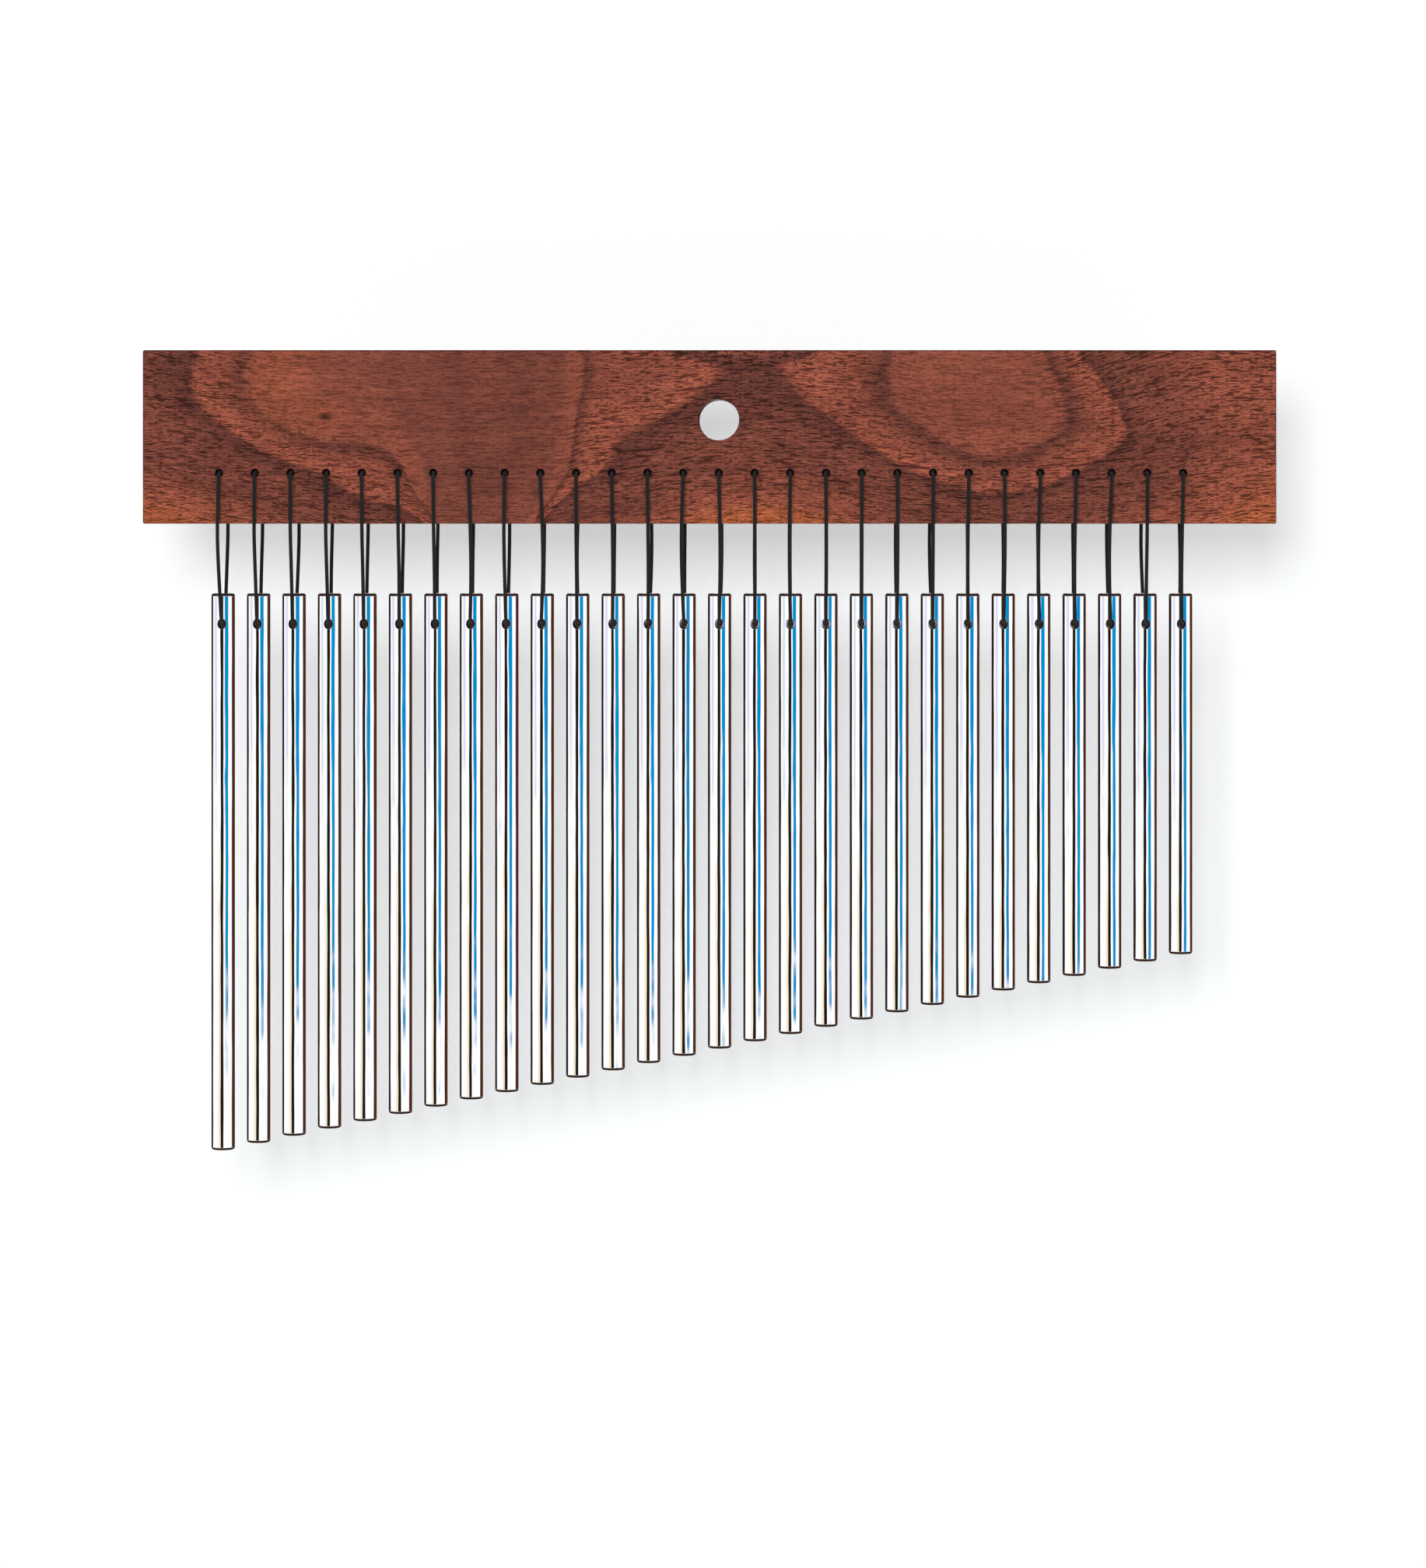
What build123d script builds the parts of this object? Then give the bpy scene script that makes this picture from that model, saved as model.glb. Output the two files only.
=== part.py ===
from build123d import *
import os

# Bar chimes: a wooden mantle carries a row of polished bars, longest to shortest, and each bar hangs
# on its own loop of braided cord. All sizes are in millimetres. The origin is the middle of the stand
# hole, at mid-thickness of the mantle. +X runs along the row towards the short bars, -Y is the front
# that the player faces, and +Z is up.

# Driving dimensions: the row
BAR_COUNT = 28
BAR_PITCH = 9.6             # from one cord hole to the next
LEFT_MARGIN = 20.5          # from the mantle's left end to the first cord hole
RIGHT_MARGIN = 25.1         # from the last cord hole to the mantle's right end

# Driving dimensions: the mantle
MANTLE_THICKNESS = 19.05
EASED_EDGE = 0.5            # round on every edge of the plank
STAND_HOLE_D = 11.1
STAND_HOLE_DROP = 18.7      # from the mantle's top down to the stand hole
STAND_HOLE_OFFSET = 2.4     # the stand hole lies this far right of the mantle's middle
CORD_ROW_DROP = 14.3        # from the stand hole down to the row of cord holes
CORD_ROW_RISE = 13.7        # from the mantle's bottom up to the row of cord holes
CORD_HOLE_BREAK = 0.4       # 45 degree break at both mouths of a cord hole

# Driving dimensions: the bars
BAR_D = 6.35
LONGEST_BAR = 150.5
SHORTEST_BAR = 97.5
BAR_EDGE = 0.6              # round on both ends of a bar
BAR_DROP = 18.9             # from the mantle's bottom down to the tops of the bars
BAR_HOLE_DROP = 8.2         # from a bar's top down to its cross hole
BAR_HOLE_BREAK = 0.3        # 45 degree break at both mouths of the cross hole

# Driving dimensions: the cords
CORD_D = 1.0
CORD_GAP = 0.2              # between a cord and the wood or metal that it bears on
CORD_HOLE_PLAY = 0.8        # a cord hole is this much wider than the cord
BAR_HOLE_PLAY = 1.2         # a cross hole is this much wider than the cord
EDGE_RUN = 1.0              # a strand stays upright this far past the mantle's bottom edge
EDGE_BEND = 6.0             # bend radius there, where the strand turns in to the bar
KNOT_D = 3.4
TAIL_LENGTH = 4.2           # each cut end, from the knot's middle
TAIL_SPLAY = 38.0           # degrees that each cut end leans away from straight down

# Sizes that follow
MANTLE_LENGTH = LEFT_MARGIN + (BAR_COUNT - 1) * BAR_PITCH + RIGHT_MARGIN
MANTLE_HEIGHT = STAND_HOLE_DROP + CORD_ROW_DROP + CORD_ROW_RISE
MANTLE_LEFT_X = -MANTLE_LENGTH / 2 - STAND_HOLE_OFFSET
MANTLE_BOTTOM_Z = STAND_HOLE_DROP - MANTLE_HEIGHT
BAR_TOP_Z = MANTLE_BOTTOM_Z - BAR_DROP
BAR_HOLE_Z = BAR_TOP_Z - BAR_HOLE_DROP
CORD_R = CORD_D / 2
CORD_HOLE_R = (CORD_D + CORD_HOLE_PLAY) / 2
BAR_HOLE_R = (CORD_D + BAR_HOLE_PLAY) / 2
CORD_STANDOFF = CORD_R + CORD_GAP    # from a cord's middle to what it bears on


def bar_x(index):
    """Where a bar and its cord hole lie along the row, counted from 0 at the long end."""
    return MANTLE_LEFT_X + LEFT_MARGIN + index * BAR_PITCH


def bar_length(index):
    """Bars get shorter by equal steps from the long end to the short end."""
    share = index / (BAR_COUNT - 1)
    return LONGEST_BAR + (SHORTEST_BAR - LONGEST_BAR) * share


def drill(radius, depth, mouth_break):
    """What a drill and a countersink take out of a piece `depth` thick: a round turned about Y, wider at
    both mouths, that reaches past both faces so that it leaves no skin."""
    face = depth / 2
    past = face + mouth_break
    within = face - mouth_break
    wide = radius + 2 * mouth_break
    profile = [(0, -past), (wide, -past), (radius, -within), (radius, within), (wide, past), (0, past)]
    return revolve(make_face(Polyline(*profile, close=True)), axis=Axis.Y)


def make_mantle():
    """The plank, with eased edges, a plain stand hole and the row of cord holes."""
    middle = Pos(-STAND_HOLE_OFFSET, 0, MANTLE_BOTTOM_Z + MANTLE_HEIGHT / 2)
    plank = middle * Box(MANTLE_LENGTH, MANTLE_THICKNESS, MANTLE_HEIGHT)
    plank = fillet(plank.edges(), EASED_EDGE)
    stand_hole = Rot(90, 0, 0) * Cylinder(STAND_HOLE_D / 2, 2 * MANTLE_THICKNESS)
    cord_hole = drill(CORD_HOLE_R, MANTLE_THICKNESS, CORD_HOLE_BREAK)
    row = [Pos(bar_x(index), 0, -CORD_ROW_DROP) * cord_hole for index in range(BAR_COUNT)]
    return plank - [stand_hole, *row]


def make_bar(length):
    """One solid round bar with rounded ends and a cross hole near its top."""
    bar = Pos(0, 0, BAR_TOP_Z - length / 2) * Cylinder(BAR_D / 2, length)
    bar = fillet(bar.edges().filter_by(GeomType.CIRCLE), BAR_EDGE)
    return bar - Pos(0, 0, BAR_HOLE_Z) * drill(BAR_HOLE_R, BAR_D, BAR_HOLE_BREAK)


def cord_route():
    """The loop's corners as (y, z), and the bend radius at each corner between the two ends.

    From the knot at the back the cord goes forward through the mantle's hole, resting low in it, down
    the front face, past the bottom edge and in to the bar. It crosses the bar high in its hole, so that
    the bar hangs on it, and goes up the back face to the knot.
    """
    face_y = MANTLE_THICKNESS / 2 + CORD_STANDOFF
    mouth_y = BAR_D / 2 + CORD_STANDOFF
    knot_y = MANTLE_THICKNESS / 2 + CORD_GAP + KNOT_D / 2
    mantle_run_z = -CORD_ROW_DROP - CORD_HOLE_R + CORD_STANDOFF
    bar_run_z = BAR_HOLE_Z + BAR_HOLE_R - CORD_STANDOFF
    edge_z = MANTLE_BOTTOM_Z - EDGE_RUN
    points = [
        (knot_y, mantle_run_z),
        (-face_y, mantle_run_z),
        (-face_y, edge_z),
        (-mouth_y, bar_run_z),
        (mouth_y, bar_run_z),
        (face_y, edge_z),
        (face_y, mantle_run_z - KNOT_D),
        (knot_y, mantle_run_z - KNOT_D / 3),
    ]
    bends = [CORD_D, EDGE_BEND, CORD_D, CORD_D, EDGE_BEND, CORD_D]
    return points, bends


def make_cord():
    """One loop of cord: a round tube along the route, closed by a knot with two cut ends at the back."""
    points, bends = cord_route()
    path = Plane.YZ * FilletPolyline(*points, radius=bends)
    section = Plane(origin=path @ 0, z_dir=path % 0) * Circle(CORD_R)
    tube = sweep(section, path=path)
    print(f"cord loop {path.length:.2f} long, bend radii {bends}, "
          f"volume over section times length {tube.volume / (section.area * path.length):.4f}")
    knot_y, knot_z = points[0]
    knot_middle = Pos(0, knot_y, knot_z)
    cut_end = Pos(0, 0, -TAIL_LENGTH / 2) * Cylinder(CORD_R, TAIL_LENGTH)
    cut_ends = [knot_middle * Rot(0, lean, 0) * cut_end for lean in (-TAIL_SPLAY, TAIL_SPLAY)]
    return tube + [knot_middle * Sphere(KNOT_D / 2), *cut_ends]


def write_part(name, solid):
    """One file for each sub-part, under its own name."""
    solid.label = name
    export_step(solid, f"parts/{name}.step")


os.makedirs("parts", exist_ok=True)
write_part("mantle", make_mantle())
cord = make_cord()
for index in range(BAR_COUNT):
    in_row = Pos(bar_x(index), 0, 0)
    write_part(f"bar_{index + 1:02d}", in_row * make_bar(bar_length(index)))
    write_part(f"cord_{index + 1:02d}", in_row * cord)
print(f"mantle {MANTLE_LENGTH:.1f} x {MANTLE_THICKNESS:.2f} x {MANTLE_HEIGHT:.1f}, "
      f"bars {BAR_PITCH - BAR_D:.2f} apart")
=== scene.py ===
# %% [markdown]
# # Bar chimes: polished bars on cord loops under a walnut mantle
#
# A sweep of the hand sets 28 graded bars ringing. Each bar hangs on its own loop of black braided
# cord, and all the loops pass through one plank of walnut, the mantle. The CAD frame gives every
# piece its place and size, so this lesson only makes surfaces and finishes: it never moves or
# resizes what the frame holds.

# %% Load the frame
import math

import bmesh
import bpy
import numpy as np
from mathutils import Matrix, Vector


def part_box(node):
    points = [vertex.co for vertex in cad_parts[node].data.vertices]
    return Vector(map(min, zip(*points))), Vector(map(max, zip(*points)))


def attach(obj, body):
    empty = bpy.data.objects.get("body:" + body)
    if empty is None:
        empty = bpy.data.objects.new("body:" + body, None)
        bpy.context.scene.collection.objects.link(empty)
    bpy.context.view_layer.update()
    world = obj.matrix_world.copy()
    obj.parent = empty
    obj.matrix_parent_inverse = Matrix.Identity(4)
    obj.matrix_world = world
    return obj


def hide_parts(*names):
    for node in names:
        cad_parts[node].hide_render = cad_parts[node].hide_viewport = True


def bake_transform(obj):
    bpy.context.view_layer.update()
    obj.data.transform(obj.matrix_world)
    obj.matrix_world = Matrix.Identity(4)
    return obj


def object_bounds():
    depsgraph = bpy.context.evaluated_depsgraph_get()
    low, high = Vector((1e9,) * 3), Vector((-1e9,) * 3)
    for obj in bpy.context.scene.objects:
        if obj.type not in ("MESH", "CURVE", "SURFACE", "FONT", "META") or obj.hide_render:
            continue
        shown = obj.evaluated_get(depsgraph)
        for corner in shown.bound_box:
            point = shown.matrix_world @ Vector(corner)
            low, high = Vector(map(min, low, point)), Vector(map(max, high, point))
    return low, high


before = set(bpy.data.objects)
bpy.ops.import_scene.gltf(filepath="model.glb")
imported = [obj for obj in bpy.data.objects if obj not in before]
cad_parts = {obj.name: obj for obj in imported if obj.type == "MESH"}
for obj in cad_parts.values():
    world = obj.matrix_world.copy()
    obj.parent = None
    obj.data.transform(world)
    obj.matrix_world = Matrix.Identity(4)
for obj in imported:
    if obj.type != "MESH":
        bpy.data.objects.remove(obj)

MM = 0.001
CAD_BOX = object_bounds()
BARS = sorted(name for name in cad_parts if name.startswith("bar_"))
CORDS = sorted(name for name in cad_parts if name.startswith("cord_"))
MANTLE_LOW, MANTLE_HIGH = (np.array(corner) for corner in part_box("mantle"))

# %% [markdown]
# ## The camera
#
# The picture looks straight at the mantle's face, level, from a little over a metre. A camera could
# be turned until it seems right, but a few measured pixels settle it: the middle of the stand hole
# is the frame's origin, the mantle's known length gives millimetres to a pixel, and the strands
# behind the plank show where the eye stands. A shift slides the picture on the sensor, as a view
# camera does, so that the upright bars stay upright.

# %% Camera from four measured values
PICTURE = np.array([1833, 2016])            # pixels
STAND_HOLE_PIXEL = np.array([923.5, 539.5])
EYE_PIXEL = np.array([1060.0, 655.0])       # where the level line of sight meets the mantle's face
MM_PER_PIXEL = 0.20912                      # on the mantle's face
EYE_DISTANCE = 1.3                          # metres, from the mantle's face
SENSOR = 36.0                               # millimetres, along the picture's longer side
CLIP = (0.05, 50.0)                         # metres, the nearest and the farthest that is drawn


def on_face(pixel):
    """A pixel as (x, z) in metres on the mantle's face: right is +X and down is -Z."""
    return (np.asarray(pixel) - STAND_HOLE_PIXEL) * (MM_PER_PIXEL * MM) * np.array([1, -1])


def make_camera():
    data = bpy.data.cameras.new("camera")
    tall = PICTURE[1] * MM_PER_PIXEL * MM
    eye, middle = on_face(EYE_PIXEL), on_face(PICTURE / 2)
    data.sensor_width = SENSOR
    data.lens = SENSOR * EYE_DISTANCE / tall
    data.shift_x, data.shift_y = (middle - eye) / tall
    data.clip_start, data.clip_end = CLIP
    camera = bpy.data.objects.new("camera", data)
    camera.location = (eye[0], MANTLE_LOW[1] - EYE_DISTANCE, eye[1])
    camera.rotation_euler = (math.radians(90), 0, 0)
    bpy.context.scene.collection.objects.link(camera)
    bpy.context.scene.camera = camera
    print(f"camera: lens {data.lens:.1f} mm, shift {data.shift_x:.4f} {data.shift_y:.4f}")


make_camera()

# %% [markdown]
# ## From arrays to pieces
#
# A shape here is a grid of points worked out with numpy, and quads that join each point to its
# neighbours. Blender could also grow these shapes from primitives and modifiers, but arrays put
# every point exactly where the CAD solid has its surface. Patches that share an edge are welded, so
# that each piece is one closed skin.

# %% Grids, patches and pieces
WELD = 1e-7                 # metres; points closer than this are one point
SHARP_ANGLE = math.radians(32)


def grid(points, wrap=False):
    """Rows x columns x 3 points, and the quads between neighbouring rows and columns. `wrap` also
    joins the last column to the first."""
    rows, columns = points.shape[:2]
    row, column = np.meshgrid(np.arange(rows - 1), np.arange(columns - (not wrap)), indexing="ij")
    after = (column + 1) % columns
    here, below = row * columns, (row + 1) * columns
    quads = np.stack([here + column, here + after, below + after, below + column], axis=-1)
    return points.reshape(-1, 3), quads.reshape(-1, 4)


def joined(patches):
    """Several (points, quads) patches as one, each patch's numbers raised by the points before
    it."""
    starts = np.cumsum([0] + [len(points) for points, _ in patches[:-1]])
    points = np.concatenate([points for points, _ in patches])
    return points, np.concatenate([quads + start for (_, quads), start in zip(patches, starts)])


def bare_mesh(name, points, quads):
    """A mesh in metres from points in millimetres."""
    mesh = bpy.data.meshes.new(name)
    mesh.from_pydata((points * MM).tolist(), [], quads.tolist())
    return mesh


def make_mesh(name, points, quads):
    """The same, with its seams and poles welded shut and its faces turned out."""
    mesh = bare_mesh(name, points, quads)
    shape = bmesh.new()
    shape.from_mesh(mesh)
    bmesh.ops.remove_doubles(shape, verts=shape.verts, dist=WELD)
    bmesh.ops.recalc_face_normals(shape, faces=shape.faces)
    shape.to_mesh(mesh)
    shape.free()
    mesh.shade_smooth()
    mesh.set_sharp_from_angle(angle=SHARP_ANGLE)
    return mesh


def places(mesh):
    """Every vertex of a mesh, in metres."""
    flat = np.zeros(len(mesh.vertices) * 3)
    mesh.vertices.foreach_get("co", flat)
    return flat.reshape(-1, 3)


def make_piece(name, mesh, finish):
    """The mesh as an object at the origin, with its finish."""
    piece = bpy.data.objects.new(name, mesh)
    mesh.materials.append(finish)
    bpy.context.scene.collection.objects.link(piece)
    return piece


def square_round(half, count):
    """Points once round a square of that half width, `count` to a side, from its lower right corner
    upwards."""
    side = np.linspace(-half, half, count, endpoint=False)
    full = np.full(count, half)
    sides = ((full, side), (-side, full), (-full, -side), (side, -full))
    return np.concatenate([np.stack(pair, axis=1) for pair in sides])


# %% [markdown]
# ## Shader maths in Python
#
# A finish is a tree of nodes. Clicking or naming each node by hand hides the formula, so one small
# class wraps a socket and lets Python's operators add the Math nodes. Every other node comes from
# one method that takes its type, its settings and what goes into its sockets.

# %% The socket wrapper and the node maker


class Wire:
    """One output socket in a sum: each operator adds the Math node that does it."""

    def __init__(self, sheet, socket):
        self.sheet = sheet
        self.socket = socket

    def math(self, operation, *others):
        return self.sheet.node("ShaderNodeMath", dict(enumerate([self, *others])), operation=operation)

    def __add__(self, other):
        return self.math("ADD", other)

    def __sub__(self, other):
        return self.math("SUBTRACT", other)

    def __rsub__(self, other):
        return (self * -1.0) + other

    def __mul__(self, other):
        return self.math("MULTIPLY", other)

    def __truediv__(self, other):
        return self.math("DIVIDE", other)

    __radd__ = __add__
    __rmul__ = __mul__

    def low(self, other):
        return self.math("MINIMUM", other)

    def high(self, other):
        return self.math("MAXIMUM", other)

    def fraction(self):
        return self.math("FRACT")

    def bell(self, middle, width):
        """exp(-((value - middle) / width)^2), a smooth bump of height 1."""
        away = (self - middle) / width
        return (away * away * -1.0).math("EXPONENT")

    def step(self, start, end):
        """0 before start, 1 after end, and a smooth rise between."""
        ends = {"Value": self, "From Min": start, "From Max": end}
        return self.sheet.node("ShaderNodeMapRange", ends, interpolation_type="SMOOTHSTEP")


class Sheet:
    """The node tree of one material or world."""

    def __init__(self, owner):
        owner.use_nodes = True
        self.tree = owner.node_tree
        self.tree.nodes.clear()

    def node(self, kind, inputs=None, output=0, stops=None, **settings):
        """Adds a node, makes its settings, then gives each named or numbered input a value or a
        link."""
        made = self.tree.nodes.new(kind)
        for name, value in settings.items():
            setattr(made, name, value)
        if stops:
            ramp = made.color_ramp
            for _ in stops[2:]:
                ramp.elements.new(0.5)
            for element, (place, colour) in zip(ramp.elements, stops):
                element.position = place
                element.color = (*colour, 1.0)
        for name, value in (inputs or {}).items():
            if isinstance(value, Wire):
                self.tree.links.new(value.socket, made.inputs[name])
            else:
                made.inputs[name].default_value = value
        return Wire(self, made.outputs[output]) if made.outputs else None

    def mix(self, share, first, second, blend="MIX"):
        """Colour from first at share 0 to second at share 1."""
        ends = {0: share, 6: first, 7: second}          # the node's own numbers for its colour sockets
        settings = {"data_type": "RGBA", "blend_type": blend, "clamp_factor": True}
        return self.node("ShaderNodeMix", ends, output=2, **settings)

    def place(self):
        """The piece's own x, y and z in millimetres."""
        here = self.node("ShaderNodeTexCoord", output="Object")
        return [self.node("ShaderNodeSeparateXYZ", {0: here}, output=axis) * (1 / MM) for axis in "XYZ"]

    def point(self, x, y, z):
        return self.node("ShaderNodeCombineXYZ", {"X": x, "Y": y, "Z": z})

    def noise(self, place, cells, detail=2.0, start=0.0):
        """Noise with that many cells to a millimetre along x, y and z, from the start's cell in
        x."""
        x, y, z = (part * count for part, count in zip(place, cells))
        inputs = {"Vector": self.point(x + start, y, z), "Scale": 1.0, "Detail": detail}
        return self.node("ShaderNodeTexNoise", inputs, output="Fac")

    def bump(self, height, strength, rise):
        """The normals of a surface that height 1 lifts by that rise in millimetres."""
        inputs = {"Height": height, "Strength": strength, "Distance": rise * MM}
        return self.node("ShaderNodeBump", inputs)


def srgb(red, green, blue):
    """A colour as an eye dropper reads it, 0 to 255, made linear."""
    value = np.array([red, green, blue]) / 255
    linear = np.where(value <= 0.04045, value / 12.92, ((value + 0.055) / 1.055) ** 2.4)
    return tuple(float(part) for part in linear)


def start_finish(name):
    material = bpy.data.materials.new(name)
    return material, Sheet(material)


def end_finish(sheet, **sockets):
    """One Principled shader with these sockets, spaces written as underscores, on the material's
    output."""
    inputs = {name.replace("_", " "): value for name, value in sockets.items()}
    shader = sheet.node("ShaderNodeBsdfPrincipled", inputs)
    sheet.node("ShaderNodeOutputMaterial", {"Surface": shader})


# %% [markdown]
# ## The cord
#
# Each loop starts in the knot behind the mantle, comes forward through its hole, runs down the
# face, slants in to the bar, crosses it in its hole and goes up the back to the knot again. A row
# of bent pipes would give away its corners, so the route is a NURBS spline on the loop's own
# corners, with one more point about six diameters from each edge that it is pulled over. Where it
# turns at a hole, the point stands a little outside, because the spline cuts inside it.

# %% The loop's route
CORD_D = 1.0                # millimetres, as all sizes in this cell
LOOP_LENGTH = 109.6         # from the knot round to the knot
ROUTE_STEPS = 40            # spline points to a run
ROUTE = [                   # (y, z): from the knot forwards, down the front, through the bar, up the back
    (11.425, -14.5),
    (-4.225, -14.5),
    (-10.675, -14.05),
    (-10.225, -20.5),
    (-10.225, -31.0),
    (-8.85, -36.0),
    (-5.315, -48.87),
    (-4.375, -55.2),
    (4.375, -55.2),
    (5.315, -48.87),
    (8.85, -36.0),
    (10.225, -31.0),
    (10.225, -17.9),
    (11.425, -15.633),
]


def route_line(x):
    """Points along the NURBS spline of the route at that x, in millimetres, as Blender draws it."""
    curve = bpy.data.curves.new("route", "CURVE")
    curve.dimensions = "3D"
    curve.resolution_u = ROUTE_STEPS
    spline = curve.splines.new("NURBS")
    spline.points.add(len(ROUTE) - 1)
    corners = np.array([(x, y, z, 1 / MM) for y, z in ROUTE]) * MM
    spline.points.foreach_set("co", corners.ravel())
    spline.order_u = 3
    spline.use_endpoint_u = True
    bare = bpy.data.objects.new("route", curve)
    mesh = bpy.data.meshes.new_from_object(bare)
    line = places(mesh) / MM
    bpy.data.meshes.remove(mesh)
    bpy.data.curves.remove(curve)
    return line


def along(line):
    """Distance travelled at each point of a line."""
    return np.concatenate([[0], np.cumsum(np.linalg.norm(np.diff(line, axis=0), axis=1))])


print(f"route: {along(route_line(0.0))[-1]:.1f} mm by the spline, {LOOP_LENGTH} mm by the tube's arcs")

# %% [markdown]
# ## Braided cord
#
# The cord is a round braid: yarns wind both ways and pass over and under each other, so that the
# surface shows small diamonds. A bump map would do from afar, but the edge of a real braid is
# knurled, so the tube's radius itself rises and falls along two crossed helices. The yarns are
# black with a soft sheen.

# %% Braid surface and finish
BRAID_YARNS = 4             # in each direction
BRAID_PITCH = 3.2           # millimetres for a yarn to go once round
BRAID_RELIEF = 0.07         # of the cord's radius
CORD_SIDES = 16
YARN_BLACK = srgb(17, 16, 16)
YARN_SHEEN = srgb(36, 32, 30)
FIBRE_CELLS = (9.0, 9.0, 4.0)       # noise cells to a millimetre along x, y and z
FIBRE_SHEEN = (0.45, 0.75)          # noise values where the sheen starts and where it is full
FIBRE_RISE = 0.05                   # millimetres


def braid_relief(turn, run):
    """Which of two crossed helices lies on top, as a share of the radius. Each family is a wave
    over the angle plus or minus the run along the cord, and the higher wave is the yarn that
    shows."""
    twist = 2 * np.pi * run / BRAID_PITCH * BRAID_YARNS
    one = np.sin(BRAID_YARNS * turn + twist)
    other = np.sin(BRAID_YARNS * turn - twist)
    return 1 - BRAID_RELIEF + BRAID_RELIEF * np.maximum(one, other)


def braid_tube(line, sideways, swell=1.0):
    """A tube along a line: a ring of points round each of its points, in the plane of the sideways
    vector and the normal square to it, with the braid's relief. `swell` is how much thicker it is
    at each of them. Both ends close in a flat round."""
    run = along(line)
    tangent = np.gradient(line, run, axis=0)
    tangent /= np.linalg.norm(tangent, axis=1)[:, None]
    normal = np.cross(tangent, sideways)
    normal /= np.linalg.norm(normal, axis=1)[:, None]
    side = np.cross(normal, tangent)
    turn = np.linspace(0, 2 * np.pi, CORD_SIDES, endpoint=False)
    radius = CORD_D / 2 * braid_relief(turn[None, :], run[:, None]) * np.reshape(swell, (-1, 1))
    across, up = np.cos(turn)[None, :, None], np.sin(turn)[None, :, None]
    out = across * side[:, None, :] + up * normal[:, None, :]
    rings = line[:, None, :] + radius[..., None] * out
    first, last = (np.repeat(line[None, [end]], CORD_SIDES, axis=1) for end in (0, -1))
    return grid(np.concatenate([first, rings, last]), wrap=True)


def braided_cord_finish():
    finish, sheet = start_finish("braided_cord")
    fibre = sheet.noise(sheet.place(), FIBRE_CELLS, detail=3.0)
    colour = sheet.mix(fibre.step(*FIBRE_SHEEN), (*YARN_BLACK, 1), (*YARN_SHEEN, 1))
    end_finish(sheet, Base_Color=colour, Roughness=0.62 + 0.2 * fibre, Sheen_Weight=0.06,
               Specular_IOR_Level=0.25, Normal=sheet.bump(fibre, 0.4, FIBRE_RISE))
    return finish


CORD_FINISH = braided_cord_finish()
print("finish: braided cord")

# %% [markdown]
# ## The knot behind the mantle
#
# An overhand knot larger than the hole closes each loop, and its two cut ends hang below it. A ball
# would stand for it in the CAD solid. Here the same cord runs along a trefoil, the closed form of
# an overhand knot, drawn tight into that ball's room.

# %% Knots and cut ends
KNOT_D = 3.4                # outside, in millimetres
KNOT_STEPS = 120
KNOT_DEPTH = 1.5            # of the trefoil's small circle, front to back
KNOT_SIDE = np.array([0.3, 1.0, 0.2])       # the tube's sideways vector, never along the cord
TAIL_SIDE = np.array([0.0, 1.0, 0.0])
TAIL_LENGTH = 4.2
TAIL_CURL = 0.5             # millimetres outwards at the tip
TAIL_SPLAY = math.radians(38)
TAIL_STEPS = 24


def knot_line(middle):
    """A trefoil, x = sin t + 2 sin 2t, z = cos t - 2 cos 2t, y = -depth sin 3t, scaled to fit the
    knot with its cord."""
    t = np.linspace(0, 2 * np.pi, KNOT_STEPS)
    x, z = np.sin(t) + 2 * np.sin(2 * t), np.cos(t) - 2 * np.cos(2 * t)
    loop = np.stack([x, -KNOT_DEPTH * np.sin(3 * t), z], axis=1)
    room = (KNOT_D - CORD_D) / 2
    return middle + loop * room / np.linalg.norm(loop, axis=1).max()


def tail_line(middle, lean):
    """A cut end: from the knot's middle down and to one side, with a slight curl outwards."""
    share = np.linspace(0, 1, TAIL_STEPS)[:, None]
    straight = np.array([math.sin(lean), 0, -math.cos(lean)])
    curl = np.array([0, TAIL_CURL, 0])
    return middle + TAIL_LENGTH * share * straight + curl * share ** 2


def make_knot(number, x):
    middle = np.array([x, *ROUTE[0]])
    patches = [braid_tube(knot_line(middle), KNOT_SIDE)]
    patches += [braid_tube(tail_line(middle, lean), TAIL_SIDE) for lean in (-TAIL_SPLAY, TAIL_SPLAY)]
    mesh = make_mesh("knot", *joined(patches))
    piece = make_piece(f"knot_{number:02d}", mesh, CORD_FINISH)
    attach(piece, f"cord_{number:02d}")
    return piece


# %% [markdown]
# ## 28 loops
#
# Each loop is one tube along the route, at its bar's place. Inside the bar's cross hole the soft
# braid opens out under the bar's weight and all but fills the hole, so no light shows through it.
# Between the two holes each strand bows a little to one side, no two alike.

# %% Make the loops
BEND_END = -46.9            # at the tops of the bars
BORE_SWELL = 0.85           # how much thicker the braid is inside a bar's cross hole
BORE_HALF = (2.2, 3.0)      # millimetres from the bar's axis: all of that within, none outside
ROW_SIDE = np.array([1.0, 0.0, 0.0])
BOW = 0.28                  # millimetres that a strand stands aside at its middle, more or less
BOW_ENDS = (-16.0, -53.5)   # millimetres, the strand's upper and lower end
RANDOM = np.random.default_rng(28)


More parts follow.
